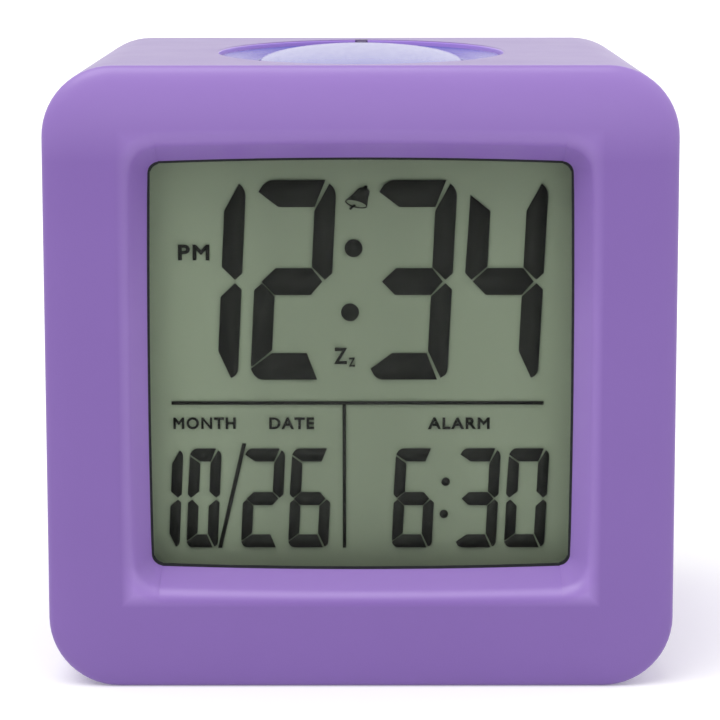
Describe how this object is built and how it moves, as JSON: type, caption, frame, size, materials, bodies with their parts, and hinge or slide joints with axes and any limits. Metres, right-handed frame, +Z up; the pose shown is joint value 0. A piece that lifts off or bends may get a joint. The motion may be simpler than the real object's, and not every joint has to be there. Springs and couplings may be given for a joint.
{
  "type": "alarm clock",
  "caption": "Soft-skinned cube alarm clock with a large framed display, an oval snooze button on top, and rear keys, sounder and hinged battery door.",
  "frame": {"origin": "on the resting surface, under the middle of the clock's width and depth", "axes": "+X to the right seen from the front, +Y from the display towards the rear, +Z up"},
  "size_m": [0.08, 0.072, 0.0803],
  "materials": {
    "soft_skin": "soft matt silicone",
    "case_plastic": "moulded",
    "black_foam": "matt",
    "clear_lens": "clear polished",
    "polarizer_film": "satin film",
    "display_glass": "polished",
    "display_backing": "satin grey green",
    "white_plastic": "moulded",
    "contact_rubber": "striped silicone",
    "guide_acrylic": "clear",
    "circuit_board": "solder mask",
    "black_epoxy": "matt",
    "bright_steel": "plated",
    "blue_tint_plastic": "satin translucent",
    "rear_plastic": "fine texture",
    "key_plastic": "satin",
    "knob_plastic": "satin",
    "disc_brass": "satin",
    "cell_wrap": "printed foil",
    "cable_jacket": "smooth",
    "red_jacket": "smooth",
    "black_jacket": "smooth"
  },
  "bodies": {
    "clock": {"sleeve": "soft_skin", "front_case": "case_plastic", "window_gasket": "black_foam", "lens": "clear_lens", "lcd_front_polarizer": "polarizer_film", "lcd_front_glass": "display_glass", "lcd_rear_glass": "display_glass", "lcd_rear_polarizer": "display_backing", "lcd_frame": "white_plastic", "contact_strips": "contact_rubber", "light_guide": "guide_acrylic", "guide_reflector": "white_plastic", "backlight_led": "white_plastic", "main_board": "circuit_board", "chip_cover": "black_epoxy", "quartz_crystal": "bright_steel", "board_components": "black_epoxy", "board_screws": "bright_steel", "snooze_surround": "blue_tint_plastic", "snooze_spring": "bright_steel", "snooze_board": "circuit_board", "snooze_switch": "black_epoxy", "snooze_board_screws": "bright_steel", "rear_cover": "rear_plastic", "case_screws": "bright_steel", "key_board": "circuit_board", "key_switches": "black_epoxy", "key_board_screws": "bright_steel", "alarm_switch_body": "bright_steel", "sounder_holder": "white_plastic", "sounder_disc": "disc_brass", "battery_springs": "bright_steel", "battery_plates": "bright_steel", "battery_cell_upper": "cell_wrap", "battery_cell_lower": "cell_wrap", "ribbon_cable": "cable_jacket", "snooze_cable": "cable_jacket", "positive_lead": "red_jacket", "negative_lead": "black_jacket", "sounder_leads": "cable_jacket"},
    "snooze": {"snooze_button": "blue_tint_plastic"},
    "set_key": {"set_button": "key_plastic"},
    "mode_key": {"mode_button": "key_plastic"},
    "up_key": {"up_button": "key_plastic"},
    "down_key": {"down_button": "key_plastic"},
    "alarm_slider": {"alarm_switch_knob": "knob_plastic"},
    "door": {"battery_door": "rear_plastic", "battery_door_latch": "rear_plastic"}
  },
  "joints": [
    {"name": "snooze_press", "type": "slide", "parent": "clock", "child": "snooze", "axis": [0, 0, -1], "range_m": [0, 0.0012], "stiffness_N_per_m": 500, "springref_m": -0.0006, "deforming": ["snooze_spring"]},
    {"name": "set_press", "type": "slide", "parent": "clock", "child": "set_key", "axis": [0, -1, 0], "range_m": [0, 0.0008], "stiffness_N_per_m": 600, "springref_m": -0.0003},
    {"name": "mode_press", "type": "slide", "parent": "clock", "child": "mode_key", "axis": [0, -1, 0], "range_m": [0, 0.0008], "stiffness_N_per_m": 600, "springref_m": -0.0003},
    {"name": "up_press", "type": "slide", "parent": "clock", "child": "up_key", "axis": [0, -1, 0], "range_m": [0, 0.0008], "stiffness_N_per_m": 600, "springref_m": -0.0003},
    {"name": "down_press", "type": "slide", "parent": "clock", "child": "down_key", "axis": [0, -1, 0], "range_m": [0, 0.0008], "stiffness_N_per_m": 600, "springref_m": -0.0003},
    {"name": "alarm_slide", "type": "slide", "parent": "clock", "child": "alarm_slider", "axis": [1, 0, 0], "range_m": [0, 0.003]},
    {"name": "door_hinge", "type": "hinge", "parent": "clock", "child": "door", "pos_m": [0, 0.0326, 0.0094], "axis": [-1, 0, 0], "range_deg": [0, 95], "deforming": ["battery_door_latch"]}
  ]
}
